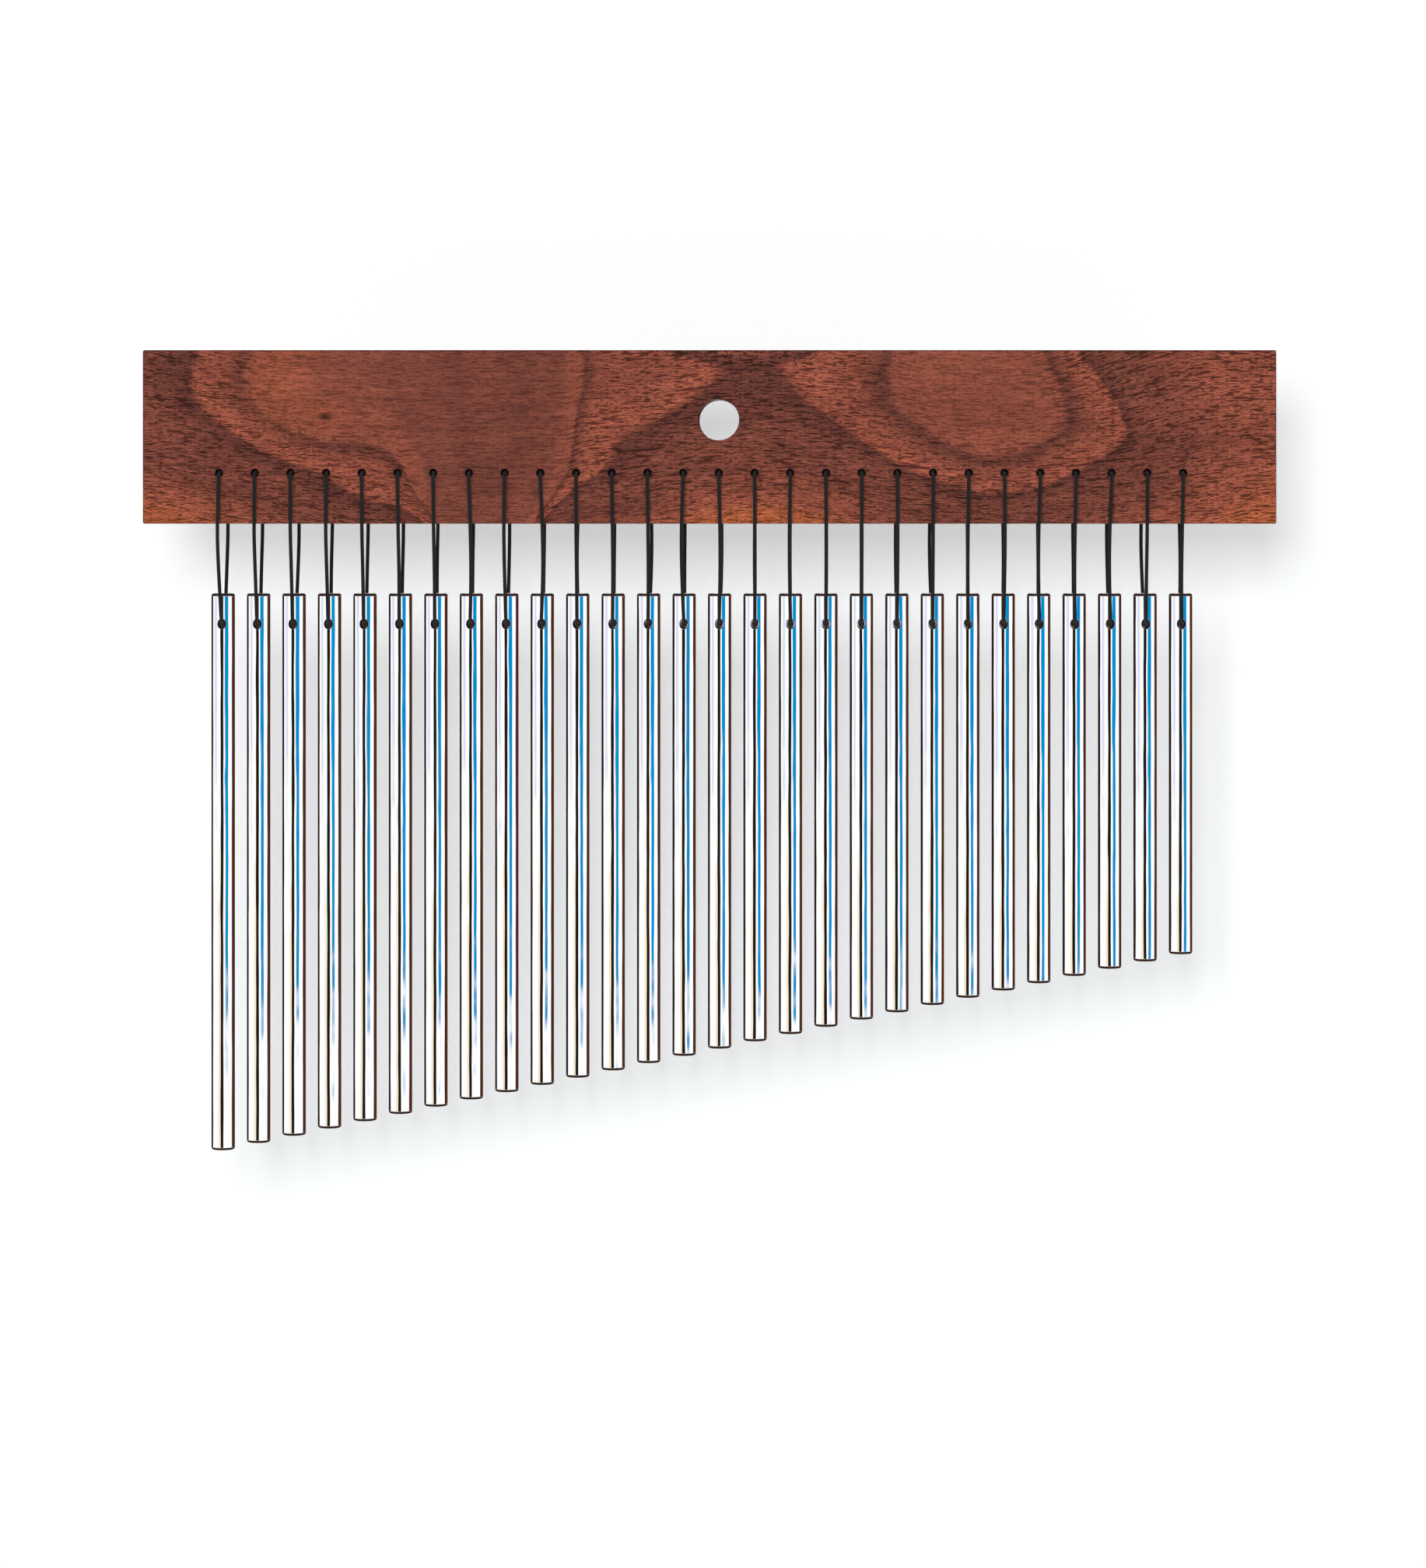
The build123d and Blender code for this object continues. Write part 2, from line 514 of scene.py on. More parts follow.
def strand_bow(line):
    """How far each point stands aside: half a sine wave down the front strand, and another down the
    back one."""
    top, bottom = BOW_ENDS
    share = np.clip((line[:, 2] - top) / (bottom - top), 0, 1)
    front, back = RANDOM.normal(0.0, BOW, 2)
    return np.where(line[:, 1] < 0, front, back) * np.sin(np.pi * share)


def bore_swell(line):
    """Thickness along the loop, as a share of the cord's own: more where the line crosses the
    bar."""
    inner, outer = BORE_HALF
    inside = np.clip((outer - abs(line[:, 1])) / (outer - inner), 0, 1)
    return 1 + BORE_SWELL * inside * (line[:, 2] < BEND_END)


def make_loop(name):
    number = int(name[-2:])
    low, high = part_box(f"bar_{number:02d}")
    x = (low.x + high.x) / 2 / MM
    line = route_line(x)
    line[:, 0] += strand_bow(line)
    knot = make_knot(number, x)
    mesh = make_mesh(f"loop_{number:02d}", *braid_tube(line, ROW_SIDE, bore_swell(line)))
    loop = make_piece(f"loop_{number:02d}", mesh, CORD_FINISH)
    loop.visible_glossy = False         # a row of cords would crowd the flanks of each bar
    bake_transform(loop)
    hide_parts(name)
    return loop


LOOPS = [make_loop(name) for name in CORDS]
print(f"loops: {len(LOOPS)}, {len(LOOPS[0].data.polygons)} faces each")

# %% [markdown]
# ## Mirror-polished bars
#
# Each bar is a solid rod with rounded ends and a cross hole for its cord. On a mirror every flat
# facet shows, so the CAD mesh gives way to a finer skin: rings round the rod, and a patch that runs
# from a square on its side to the round mouth of the hole. The skin's normals are set to the rod's
# own, so that reflections run straight past the hole.

# %% One bar's skin
BAR_R = 3.175               # millimetres, as all sizes in this cell
BAR_EDGE = 0.6
DULL_EDGE = 0.8             # from a bar's end, down to where the polish is full
BAR_HOLE_DROP = 8.2
BAR_HOLE_R = 1.1
BAR_HOLE_BREAK = 0.3
PATCH_HALF = 2.2            # half the square round the hole, along the surface
PATCH_STEPS = 16            # to a side of that square
PATCH_RINGS = 7             # from the hole's rim out to the square
PATCH_EASE = 1.3            # above 1, these rings crowd towards the rim
RIM_ROUNDS = 30             # of the sum that finds the rim
FLANK_STEPS = 20            # between the front square and the back one
EDGE_STEPS = 7
CAP_RINGS = 4
LENGTH_STEPS = 14
TOUCH = 1e-4                # closer than this counts as the same place
ON_ROD = 1e-3               # closer than this to the rod's radius counts as on its side


def around(angle, radius, z):
    """Points at that angle from the front, radius and height: x = r sin a, y = -r cos a."""
    angle, radius, z = np.broadcast_arrays(angle, radius, z)
    return np.stack([radius * np.sin(angle), -radius * np.cos(angle), z], axis=-1)


def end_profile():
    """(radius, drop) from the middle of a bar's end: out over the flat, then down a quarter
    round."""
    flat = np.linspace(0, BAR_R - BAR_EDGE, CAP_RINGS)
    turn = np.linspace(0, np.pi / 2, EDGE_STEPS)[1:]
    radius = np.concatenate([flat, BAR_R - BAR_EDGE + BAR_EDGE * np.sin(turn)])
    drop = np.concatenate([np.zeros(CAP_RINGS), BAR_EDGE * (1 - np.cos(turn))])
    return radius, drop


def hole_rim(turn):
    """Radius of the hole's mouth at each angle round it. The 45 degree cone meets the rod where r =
    sqrt(R^2 - (r cos t)^2) - R + mouth, found by repeating that sum."""
    mouth = BAR_HOLE_R + BAR_HOLE_BREAK
    radius = np.full_like(turn, mouth)
    for _ in range(RIM_ROUNDS):
        radius = np.sqrt(BAR_R ** 2 - (radius * np.cos(turn)) ** 2) - BAR_R + mouth
    return radius


def hole_patches():
    """The square patch on the front of the rod, its cone and the bore, and the same turned to the
    back."""
    square = square_round(PATCH_HALF, PATCH_STEPS)
    turn = np.arctan2(square[:, 1], square[:, 0])
    rim = hole_rim(turn)
    rim_flat = np.stack([BAR_R * np.arcsin(rim * np.cos(turn) / BAR_R), rim * np.sin(turn)], axis=1)
    share = np.linspace(0, 1, PATCH_RINGS)[:, None, None] ** PATCH_EASE
    flat = rim_flat + share * (square - rim_flat)
    skin = around(flat[..., 0] / BAR_R, BAR_R, flat[..., 1])
    bore = np.stack([BAR_HOLE_R * np.cos(turn), np.zeros_like(turn), BAR_HOLE_R * np.sin(turn)], axis=1)
    throat = bore - np.array([0, BAR_R - BAR_HOLE_BREAK, 0])
    cone = np.stack([throat + part * (skin[0] - throat) for part in (0.0, 0.5, 1.0)])
    wall = np.stack([bore, bore + (throat - bore) * 0.5, throat])
    turned = np.array([-1, -1, 1])
    return [grid(patch * way, wrap=True) for patch in (skin, cone, wall) for way in (np.ones(3), turned)]


def bar_skin(length):
    """Rings round the rod from the top's middle to the bottom's, with gaps for the two square
    patches, at the origin's axis and with its top at z = 0."""
    half = PATCH_HALF / BAR_R
    square = np.linspace(-half, half, PATCH_STEPS + 1)
    flank = np.linspace(half, np.pi - half, FLANK_STEPS + 1)
    angle = np.concatenate([square, flank[1:], np.pi + square[1:], np.pi + flank[1:-1]])
    radius, drop = end_profile()
    top, bottom = -BAR_HOLE_DROP + PATCH_HALF, -BAR_HOLE_DROP - PATCH_HALF
    head = around(angle, np.append(radius, [BAR_R, BAR_R])[:, None],
                  np.append(-drop, [-DULL_EDGE, top])[:, None])
    down = np.linspace(bottom, DULL_EDGE - length, LENGTH_STEPS)
    tail = around(angle, np.append(np.full(LENGTH_STEPS, BAR_R), radius[::-1])[:, None],
                  np.append(down, drop[::-1] - length)[:, None])
    beside = np.linspace(top, bottom, PATCH_STEPS + 1)[:, None]
    sides = [grid(around(flank + turn, BAR_R, beside)) for turn in (0, np.pi)]
    drop_to_hole = np.array([0, 0, -BAR_HOLE_DROP])
    holes = [(points + drop_to_hole, quads) for points, quads in hole_patches()]
    return joined([grid(head, wrap=True), grid(tail, wrap=True), *sides, *holes])


def set_rod_normals(mesh, axis_x):
    """Exact normals on the rod's own side: at each corner of a face that lies on it, straight out
    from the axis."""
    count = len(mesh.loops)
    vertex = np.zeros(count, np.int32)
    mesh.loops.foreach_get("vertex_index", vertex)
    away = places(mesh)[vertex] - np.array([axis_x, 0, 0])
    away[:, 2] = 0
    reach = np.linalg.norm(away, axis=1)
    sides = np.zeros(len(mesh.polygons), np.int32)
    mesh.polygons.foreach_get("loop_total", sides)
    on_rod = np.isclose(reach, BAR_R * MM, atol=ON_ROD * MM)
    whole = np.minimum.reduceat(on_rod, np.concatenate([[0], np.cumsum(sides)[:-1]]))
    straight_out = away / np.maximum(reach, WELD)[:, None]
    normal = np.where(np.repeat(whole, sides)[:, None], straight_out, 0.0)
    mesh.normals_split_custom_set(normal.tolist())


def mark_dull_and_painted_dark(mesh, axis_x, top, bottom):
    """The attribute `dull_and_painted_dark`: 1 on the rounded edges of both ends, where a dark
    reflection is painted, and in the cross hole out to its rim, where shade is painted; 0 on the side
    and the flat ends."""
    x, y, z = (places(mesh) / MM - np.array([axis_x, 0, top])).T
    from_end = np.minimum(-z, z + top - bottom)
    rounded = (from_end < BAR_EDGE + TOUCH) & (np.hypot(x, y) > BAR_R - BAR_EDGE - TOUCH)
    below = z + BAR_HOLE_DROP
    in_hole = np.hypot(x, below) < hole_rim(np.arctan2(below, x)) + TOUCH
    mark = mesh.attributes.new("dull_and_painted_dark", "FLOAT", "POINT")
    mark.data.foreach_set("value", (rounded | in_hole).astype(np.float32))


# %% [markdown]
# ## Polished metal
#
# The bars are mirror polished, and what shows on them is the studio around them. A perfect mirror
# would look drawn with a ruler: the draw bench and the polishing wheel leave a slow waviness along
# the rod and faint lines, and so the reflected stripes waver a little. Both are bump, and fingers
# leave some places slightly duller. The rounded ends and the cross hole are made dull and dark
# brown: a painted dark reflection round the ends, and painted shade in the hole. A mask by height
# would need each bar's own length, so the mesh carries the mark instead.

# %% Finish of the bars
BAR_METAL = (0.93, 0.935, 0.94)
# painted dark reflection on the rounded ends, and painted shade in the cross hole
DARK_REFLECTION_AND_HOLE_SHADE = srgb(56, 34, 28)
DULLED = 0.97               # of the metal's brightness, where fingers touched it
WAVE_CELLS = (0.25, 0.25, 0.07)     # noise cells to a millimetre along x, y and z
LINE_CELLS = (6.0, 6.0, 0.15)
DULL_CELLS = (0.12, 0.12, 0.05)
WAVE_RISE = 0.12            # millimetres
LINE_SHARE = 0.002          # of that rise


def polished_bar_finish():
    finish, sheet = start_finish("polished_bar")
    place = sheet.place()
    wave = sheet.noise(place, WAVE_CELLS, detail=1.0)
    lines = sheet.noise(place, LINE_CELLS)
    dull = sheet.noise(place, DULL_CELLS).step(0.5, 0.75)
    bump = sheet.bump(wave + lines * LINE_SHARE, 1.0, WAVE_RISE)
    dull_and_painted_dark = sheet.node("ShaderNodeAttribute", output="Fac", attribute_name="dull_and_painted_dark")
    colour = sheet.mix(dull, (*BAR_METAL, 1), (*(part * DULLED for part in BAR_METAL), 1))
    # dark brown where the mark is: painted dark reflection at the ends, painted shade in the cross hole
    colour = sheet.mix(dull_and_painted_dark, colour, (*DARK_REFLECTION_AND_HOLE_SHADE, 1))
    end_finish(sheet, Base_Color=colour, Metallic=1.0 - dull_and_painted_dark, Normal=bump,
               Roughness=0.03 + 0.02 * dull + 0.25 * dull_and_painted_dark, Specular_IOR_Level=0.0)
    return finish


BAR_FINISH = polished_bar_finish()
print("finish: polished bars")

# %% Make the bars


def make_bar(name):
    low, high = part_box(name)
    x, top, length = (low.x + high.x) / 2 / MM, high.z / MM, (high.z - low.z) / MM
    points, quads = bar_skin(length)
    mesh = make_mesh(name + "_skin", points + np.array([x, 0, top]), quads)
    set_rod_normals(mesh, x * MM)
    mark_dull_and_painted_dark(mesh, x, top, top - length)
    piece = make_piece(name + "_skin", mesh, BAR_FINISH)
    piece.visible_glossy = False        # neighbours would repeat in each other without end
    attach(piece, name)
    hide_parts(name)
    return piece


SKINS = [make_bar(name) for name in BARS]
print(f"bars: {len(SKINS)}, {len(SKINS[0].data.polygons)} faces each")

# %% [markdown]
# ## The mantle
#
# One plank of walnut with eased edges, a stand hole in its middle and a row of 28 cord holes.
# Cutting holes with booleans leaves long slivers that shade badly, so the face is laid out as a
# grid whose lines fall on the holes' own squares, and each square is a patch that runs in to its
# hole.

# %% The plank's skin
EASED_EDGE = 0.5            # millimetres, as all sizes in this cell
CORD_ROW_Z = -14.3
CORD_HOLE_R = 0.9
CORD_HOLE_BREAK = 0.4
STAND_HOLE_R = 5.55
HOLE_CELL_STEPS = 8         # to a side of the square round a cord hole
CELL_RINGS = 6              # from that square in to the hole's mouth
CELL_EASE = 1.5             # above 1, these rings crowd towards the mouth
SIDE_MARGIN = 4.0           # on the narrow sides: bare margin, lines between, and the margin's step
SIDE_LINES = 5
SIDE_STEP = 2.0
TINY = 1e-9
EDGE_SHARES = np.array([0, 0.12, 0.3, 0.5, 0.7, 0.88])


def face_lines(low, high, marks, step):
    """Grid lines from low to high: the given marks stay, the margins are divided about evenly, and
    close lines at both ends make room for the eased edge."""
    count_before = max(2, round((marks[0] - low) / step))
    count_after = max(2, round((high - marks[-1]) / step))
    before = np.linspace(low + EASED_EDGE, marks[0], count_before, endpoint=False)
    after = np.linspace(marks[-1], high - EASED_EDGE, count_after + 1)[1:]
    return np.concatenate([low + EASED_EDGE * EDGE_SHARES, before, marks, after,
                           high - EASED_EDGE * EDGE_SHARES[::-1]])


def eased(points, low, high):
    """Rounds a box: each point goes to the nearest place inside the box shrunk by the edge's
    radius, and out again by that radius."""
    inner = np.clip(points, low + EASED_EDGE, high - EASED_EDGE)
    away = points - inner
    reach = np.linalg.norm(away, axis=-1, keepdims=True)
    return inner + away * EASED_EDGE / np.maximum(reach, TINY)


def hole_tube(square, middle, radius, mouth_break, depth):
    """From the lines round a hole's square on the front face, in to its mouth, down its break and
    through to mid thickness. The far half is its mirror."""
    turn = np.arctan2(square[:, 1] - middle[1], square[:, 0] - middle[0])
    circle = np.stack([np.cos(turn), np.sin(turn)], axis=1)
    mouth = middle + circle * (radius + mouth_break)
    share = np.linspace(1, 0, CELL_RINGS)[:, None, None] ** CELL_EASE
    flat = mouth + share * (square - mouth)
    rows = [np.stack([ring[:, 0], np.full(len(ring), -depth), ring[:, 1]], axis=1) for ring in flat]
    bore = middle + circle * radius
    for y in (mouth_break - depth, -depth / 2, 0.0):
        rows.append(np.stack([bore[:, 0], np.full(len(bore), y), bore[:, 1]], axis=1))
    return np.stack(rows)


def ring_of(x_lines, z_lines):
    """Grid points once round a rectangle of grid lines, anticlockwise from its lower right
    corner."""
    right = np.stack([np.full(len(z_lines) - 1, x_lines[-1]), z_lines[:-1]], axis=1)
    top = np.stack([x_lines[:0:-1], np.full(len(x_lines) - 1, z_lines[-1])], axis=1)
    left = np.stack([np.full(len(z_lines) - 1, x_lines[0]), z_lines[:0:-1]], axis=1)
    bottom = np.stack([x_lines[:-1], np.full(len(x_lines) - 1, z_lines[0])], axis=1)
    return np.concatenate([right, top, left, bottom])


def mantle_skin(low, high, hole_xs):
    pitch = hole_xs[1] - hole_xs[0]
    step = pitch / HOLE_CELL_STEPS
    row_marks = hole_xs[0] - pitch / 2 + step * np.arange(len(hole_xs) * HOLE_CELL_STEPS + 1)
    column_marks = CORD_ROW_Z - pitch / 2 + step * np.arange(3 * HOLE_CELL_STEPS + 1)
    x_lines = face_lines(low[0], high[0], row_marks, step)
    z_lines = face_lines(low[2], high[2], column_marks, step)
    side_marks = np.linspace(low[1] + SIDE_MARGIN, high[1] - SIDE_MARGIN, SIDE_LINES)
    y_lines = face_lines(low[1], high[1], side_marks, SIDE_STEP)
    first_x = np.searchsorted(x_lines, row_marks[0])
    first_z = np.searchsorted(z_lines, column_marks[0])
    open_cells = np.zeros((len(x_lines) - 1, len(z_lines) - 1), bool)
    tubes = []
    stand_from = first_x + int(np.argmin(abs(row_marks))) - HOLE_CELL_STEPS
    cells = [(first_x + HOLE_CELL_STEPS * n, first_z, HOLE_CELL_STEPS,
              (x, CORD_ROW_Z), CORD_HOLE_R, CORD_HOLE_BREAK) for n, x in enumerate(hole_xs)]
    cells.append((stand_from, first_z + HOLE_CELL_STEPS, 2 * HOLE_CELL_STEPS,
                  (0.0, 0.0), STAND_HOLE_R, 0.0))
    for i, j, width, middle, radius, mouth_break in cells:
        open_cells[i:i + width, j:j + width] = True
        square = ring_of(x_lines[i:i + width + 1], z_lines[j:j + width + 1])
        tube = hole_tube(square, np.array(middle), radius, mouth_break, high[1])
        tubes += [grid(tube, wrap=True), grid(tube * np.array([1, -1, 1]), wrap=True)]
    patches = []
    for axis, lines in ((1, (x_lines, z_lines)), (0, (y_lines, z_lines)), (2, (x_lines, y_lines))):
        one, other = np.meshgrid(*lines, indexing="ij")
        for end in (low[axis], high[axis]):
            points = np.insert(np.stack([one, other], axis=-1), axis, end, axis=-1)
            points, quads = grid(eased(points, low, high))
            patches.append((points, quads[~open_cells.ravel()] if axis == 1 else quads))
    return joined(patches + tubes)


def make_mantle(finish):
    points, quads = mantle_skin(MANTLE_LOW / MM, MANTLE_HIGH / MM, HOLE_XS)
    piece = make_piece("mantle_plank", make_mesh("mantle_plank", points, quads), finish)
    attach(piece, "mantle")
    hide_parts("mantle")
    print(f"mantle: {len(piece.data.polygons)} faces, {len(HOLE_XS)} cord holes")


# %% [markdown]
# ## Walnut
#
# The plank is flat sawn, so its face cuts slantwise through the tree's year rings and shows them as
# long ovals. A Wave texture would make even stripes, so the rings come from the cut itself: a crest
# that rises and falls along the plank, less a parabola away from the crest line, counts the rings,
# and depth into the wood adds to the count, so that the sides and the back show the same rings. A
# ramp over that count gives the tone: it darkens slowly up to the end of a year's growth and jumps
# back to light. Pores are short dark dashes along the grain.

# %% Ring count
CREST_Z = 12.2              # millimetres, as all lengths in this cell
RING_FALL = 19.8            # away from the crest line, the count drops by one at this distance
RING_DEPTH = 7.0            # into the wood, the count rises by one at this depth
YEAR_END = 1.15             # count at the sharp end of a year's growth
CREST_BASE = 0.73
CREST_BELLS = [(-61, 15.5, 7.5), (-109, 46, 2.5), (73, 38, 3.15), (-19, 22, 0.77)]  # x, width, rings
SWELLS = [(-92, -27, 20, 12, 1.55), (-32, -20, 18, 14, 1.7)]    # x, z, width, height, rings
LEFT_FALL = (66, 150, 1.1)          # from -x, to -x, rings
RIGHT_FALL = (101, 150, 2.5)        # from x, to x, rings
RIGHT_LEAN = (70, 100, 0.8)         # from x, to x, lean outwards for each millimetre above LEAN_Z
LEAN_Z = -4.7
ARCH = (8, 45, 2.9)                 # x, width, rise of the crest line between the ovals
FLAT_END = (95, 140, 0.6)           # from x, to x, share of the parabola that is lost
SADDLE = (4, 24, 0.7)               # x, width, rings
SADDLE_Z, SADDLE_HEIGHT = 13.9, 4.9
WIDE_RINGS = (10, 40, 0.46)         # from x, to x, share of the years past YEAR_END that is lost


def ramp(value, start, end, much):
    return value.step(start, end) * much


def hump(value, middle, width, much):
    return value.bell(middle, width) * much


def ovals(x, z, spots):
    """The sum of soft oval spots, each by its middle, width, height and strength."""
    return sum(x.bell(at_x, wide) * z.bell(at_z, high) * much
               for at_x, at_z, wide, high, much in spots)


def ring_count(x, y, z):
    """How many year rings lie outside a place in the plank: the crest along the plank is two tall
    bells, two low ones and two falls at the ends. A saddle near the top edge parts the two ovals,
    and the right one's rings stand wider apart."""
    along_x = x + ramp(x, *RIGHT_LEAN) * (z - LEAN_Z).high(0.0)
    crest = sum(hump(along_x, *bell) for bell in CREST_BELLS) + CREST_BASE
    crest = crest - ramp(along_x, *RIGHT_FALL) - ramp(along_x * -1.0, *LEFT_FALL)
    fall = (z - CREST_Z - hump(x, *ARCH)) / RING_FALL
    flat_end = 1.0 - ramp(x, *FLAT_END)
    over = (z - SADDLE_Z).high(0.0) / SADDLE_HEIGHT
    count = crest + ovals(x, z, SWELLS) - fall * fall * flat_end - over * over * hump(x, *SADDLE)
    count = count - (count - YEAR_END).high(0.0) * ramp(x, *WIDE_RINGS)
    return count + (y - MANTLE_LOW[1] / MM) / RING_DEPTH


# %% [markdown]
# ## Where the cord meets the wood
#
# The mouth of each cord hole is darkened with painted shade, and below it, a little to the right,
# runs a faint dark strip of painted shadow where the cord lies on the face. Both repeat with the
# row, so the distance to the nearest hole is worked out from the fraction of a pitch, and no hole
# needs a mask of its own.

# %% Painted shade at the cord holes
HOLE_XS = np.array([np.mean([corner.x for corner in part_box(name)]) for name in BARS]) / MM
MOUTH_SHADE_R = (0.95, 1.25)      # millimetres from a hole's axis: all dark within, none outside
CORD_SHADOW_HALF = 0.6            # half width of the cord's painted shadow
CORD_SHADOW_ASIDE = 0.2           # to the right of its hole
CORD_SHADOW_DARK = 0.5            # of the painted shade's darkness in a hole's mouth
ROW_FADE = 1.0              # millimetres where the painted shade fades, past the row and above the holes


def cord_hole_shade(x, z):
    """How dark a place is, 0 to 1, from the painted shade in the holes' mouths and the cord's
    painted shadow below them.
    """
    pitch = HOLE_XS[1] - HOLE_XS[0]
    beside = ((x - HOLE_XS[0]) / pitch + 0.5).fraction() * pitch - pitch / 2
    middle, half = (HOLE_XS[0] + HOLE_XS[-1]) / 2, (HOLE_XS[-1] - HOLE_XS[0] + pitch) / 2
    in_row = 1.0 - (x - middle).math("ABSOLUTE").step(half - ROW_FADE, half)
    above = z - CORD_ROW_Z
    mouth_shade = 1.0 - (beside * beside + above * above).math("SQRT").step(*MOUTH_SHADE_R)
    cord_shadow = beside.bell(CORD_SHADOW_ASIDE, CORD_SHADOW_HALF) * (1.0 - above.step(-ROW_FADE, 0.0)) * CORD_SHADOW_DARK
    return mouth_shade.high(cord_shadow) * in_row


# %% Walnut finish
WOOD_ORANGE = srgb(176, 94, 60)
WOOD_LIGHT = srgb(157, 84, 65)
WOOD_MIDDLE = srgb(141, 76, 60)
WOOD_BROWN = srgb(125, 68, 56)
WOOD_DEEP = srgb(115, 63, 52)
WOOD_DARK = srgb(99, 54, 47)
# the dark of the knots' cores, and of the painted shade at the cord holes and below them
KNOT_DARK_AND_HOLE_SHADE = srgb(22, 15, 13)
# the dark share also paints the shade on the plank's top face
GRAIN_DARK_AND_SHADE = (0.42, 0.4, 0.4, 1.0)      # dark and light lines and pores, as shares of the wood's own tone
GRAIN_LIGHT = (1.6, 1.6, 1.5, 1.0)
PORE = (0.12, 0.11, 0.12, 1.0)
RING_TONES = [              # years, counted from the plank's front face, and the tone there
    (-3.2, WOOD_ORANGE), (-2.3, WOOD_LIGHT), (-1.4, WOOD_MIDDLE), (-0.8, WOOD_BROWN), (0.5, WOOD_BROWN),
    (1.1, WOOD_DARK), (1.2, WOOD_LIGHT), (1.6, WOOD_MIDDLE), (1.88, WOOD_DARK), (1.97, WOOD_MIDDLE),
    (2.5, WOOD_MIDDLE), (2.9, WOOD_BROWN), (5.0, WOOD_BROWN), (7.0, WOOD_DEEP), (9.0, WOOD_BROWN)]
RING_RANGE = (-4.0, 9.5)    # years over which the ramp runs
KNOT_HALOS = [(-105.7, 0.7, 4.6, 2.8, 0.5), (-113.0, 17.0, 4.0, 2.4, 0.3)]      # as for the swells
KNOT_CORES = [(-105.7, 0.7, 2.0, 1.1, 0.9), (-113.0, 17.0, 1.7, 0.8, 0.54)]
WARM_PLACES = [(-119.0, 9.0, 9.0, 10.0, 0.4), (-150.0, -27.0, 14.0, 5.0, 0.6)]
WOBBLE_CELLS = (0.03, 0.06, 0.08)   # noise cells to a millimetre along x, y and z
BLOTCH_CELLS = (0.04, 0.06, 0.12)
STREAK_CELLS = (0.03, 1.5, 1.2)
GRAIN_CELLS = (0.2, 4.0, 3.2)
LONG_PORE_CELLS = (0.36, 3.0, 2.9)
SHORT_PORE_CELLS = (0.75, 4.4, 4.2)
SHORT_PORE_START = 40.0             # cells along x, so that the two kinds of pore fall apart
GRAIN_TONE = (0.45, 0.8)            # noise values where a line starts and where it is full
GRAIN_BEND, BEND_RINGS = 2.0, 2.2   # millimetres that the grain moves with each ring, up to that one
CALM = (1.3, 2.6, 0.4)              # from ring, to ring, share of fibre and pores that is lost
BLOTCH, STREAK, FIBRE, PORES = 0.25, 0.35, 0.8, 0.82    # shares of the grain's layers
WOBBLE = 0.3                        # rings
# the top face's darkening is painted shade; the ends' darkening is their end grain
CUT_ENDS, SHADED_TOP_NORMALS, END_GRAIN_AND_TOP_SHADE = (0.6, 0.95), (0.15, 0.6), 0.6     # normals in x and z, and the share
WOOD_RISE = 0.12                    # millimetres


def walnut_finish():
    finish, sheet = start_finish("walnut")
    x, y, z = sheet.place()
    wobble = sheet.noise((x, y, z), WOBBLE_CELLS, detail=3.0) - 0.5
    rings = ring_count(x, y, z) + wobble * WOBBLE
    first, last = RING_RANGE
    stops = [((years - first) / (last - first), tone) for years, tone in RING_TONES]
    wood = sheet.node("ShaderNodeValToRGB", {0: (rings - first) / (last - first)}, stops=stops)
    wood = sheet.mix(ovals(x, z, KNOT_HALOS + WARM_PLACES), wood, (*WOOD_ORANGE, 1))

    grain = (x, y, z + rings.low(BEND_RINGS) * GRAIN_BEND)
    calm = 1.0 - ramp(rings, *CALM)
    blotch = sheet.noise((x, y, z), BLOTCH_CELLS)
    streak = sheet.noise(grain, STREAK_CELLS, detail=4.0)
    fibre = sheet.noise(grain, GRAIN_CELLS)
    for value, share in ((blotch, BLOTCH), (streak, STREAK), (fibre, calm * FIBRE)):
        wood = sheet.mix(value.step(*GRAIN_TONE) * share, wood, GRAIN_DARK_AND_SHADE, "MULTIPLY")
        wood = sheet.mix((1.0 - value).step(*GRAIN_TONE) * share, wood, GRAIN_LIGHT, "MULTIPLY")

    long_pores = sheet.noise(grain, LONG_PORE_CELLS, detail=0.0)
    short_pores = sheet.noise(grain, SHORT_PORE_CELLS, detail=0.0, start=SHORT_PORE_START)
    pores = long_pores.step(0.59, 0.66).high(short_pores.step(0.57, 0.64) * 0.9) * calm
    wood = sheet.mix(pores * PORES, wood, PORE, "MULTIPLY")

    wood = sheet.mix(ovals(x, z, KNOT_CORES), wood, (*KNOT_DARK_AND_HOLE_SHADE, 1))

    out = sheet.node("ShaderNodeNewGeometry", output="Normal")
    ends, top = (sheet.node("ShaderNodeSeparateXYZ", {0: out}, output=axis) for axis in "XZ")
    # painted shade on the top face and its upper eased edge, by the way they face; end faces darker as
    # end grain
    end_grain_and_shaded_top = ends.math("ABSOLUTE").step(*CUT_ENDS).high(top.step(*SHADED_TOP_NORMALS))
    wood = sheet.mix(end_grain_and_shaded_top * END_GRAIN_AND_TOP_SHADE, wood, GRAIN_DARK_AND_SHADE, "MULTIPLY")
    # painted shade in the cord holes' mouths and the cord's painted shadow on the wood
    wood = sheet.mix(cord_hole_shade(x, z), wood, (*KNOT_DARK_AND_HOLE_SHADE, 1))
    bump = sheet.bump(streak * 0.3 - pores, 0.5, WOOD_RISE)
    end_finish(sheet, Base_Color=wood, Roughness=0.5 + 0.25 * pores - 0.1 * streak, Normal=bump,
               Specular_IOR_Level=0.12)
    return finish


make_mantle(walnut_finish())

